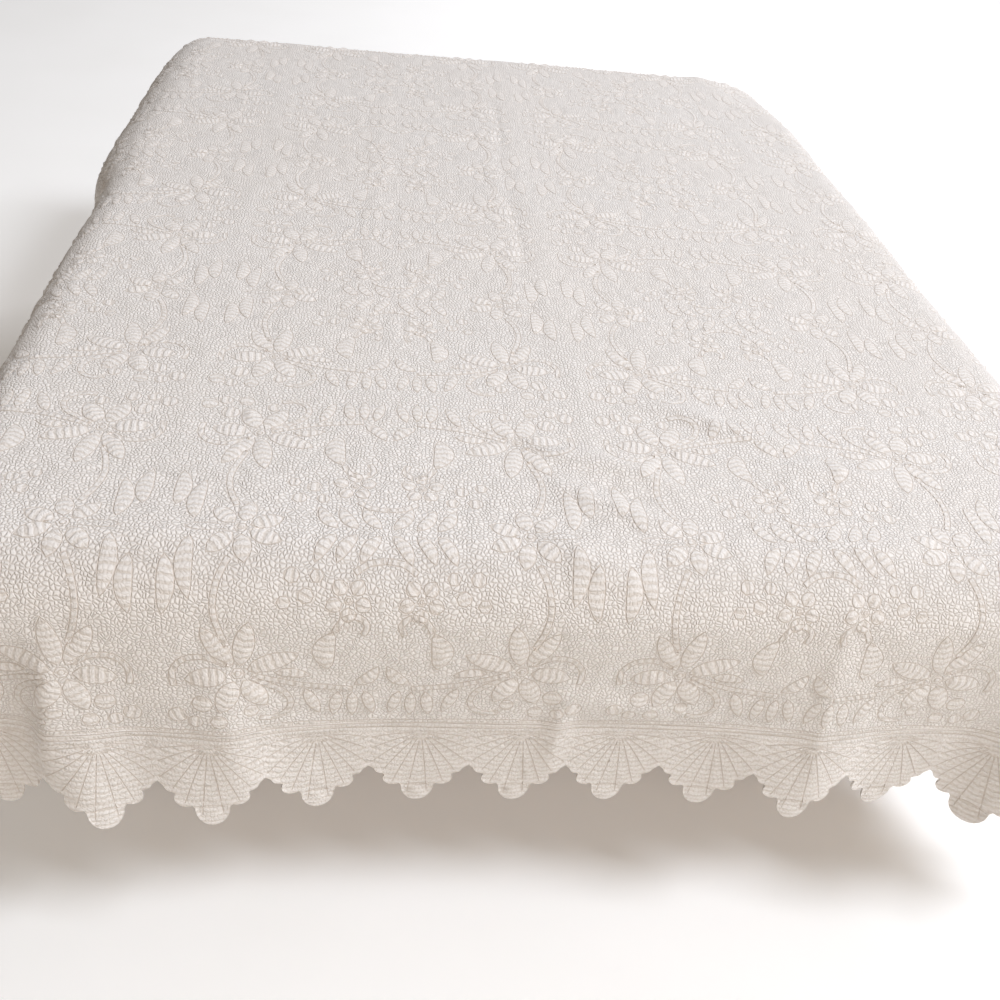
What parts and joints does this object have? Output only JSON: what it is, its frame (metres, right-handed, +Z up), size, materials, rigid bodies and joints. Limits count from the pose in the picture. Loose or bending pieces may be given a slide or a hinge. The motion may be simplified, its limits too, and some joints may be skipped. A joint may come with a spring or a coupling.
{
  "type": "matelasse coverlet on a mattress and bed base",
  "caption": "Quilted white coverlet with a scalloped hem, draped over a mattress on a low bed base, hanging in soft folds at both sides and the foot.",
  "frame": {"origin": "on the floor, under the middle of the bed, at the centre of the plinth's underside", "axes": "+Z up from the floor, +Y from the foot of the bed to its head, +X to the right as seen from the foot"},
  "size_m": [1.7404, 2.1468, 0.6271],
  "materials": {
    "quilted_cotton": "white matelasse cotton, quilted and puckered, matt",
    "ticking": "plain woven mattress ticking, matt",
    "pale_wood": "oiled pale oak",
    "dark_wood": "stained oak"
  },
  "bodies": {
    "root": {"coverlet": "quilted_cotton", "mattress": "ticking", "platform": "pale_wood", "plinth": "dark_wood"}
  },
  "joints": []
}
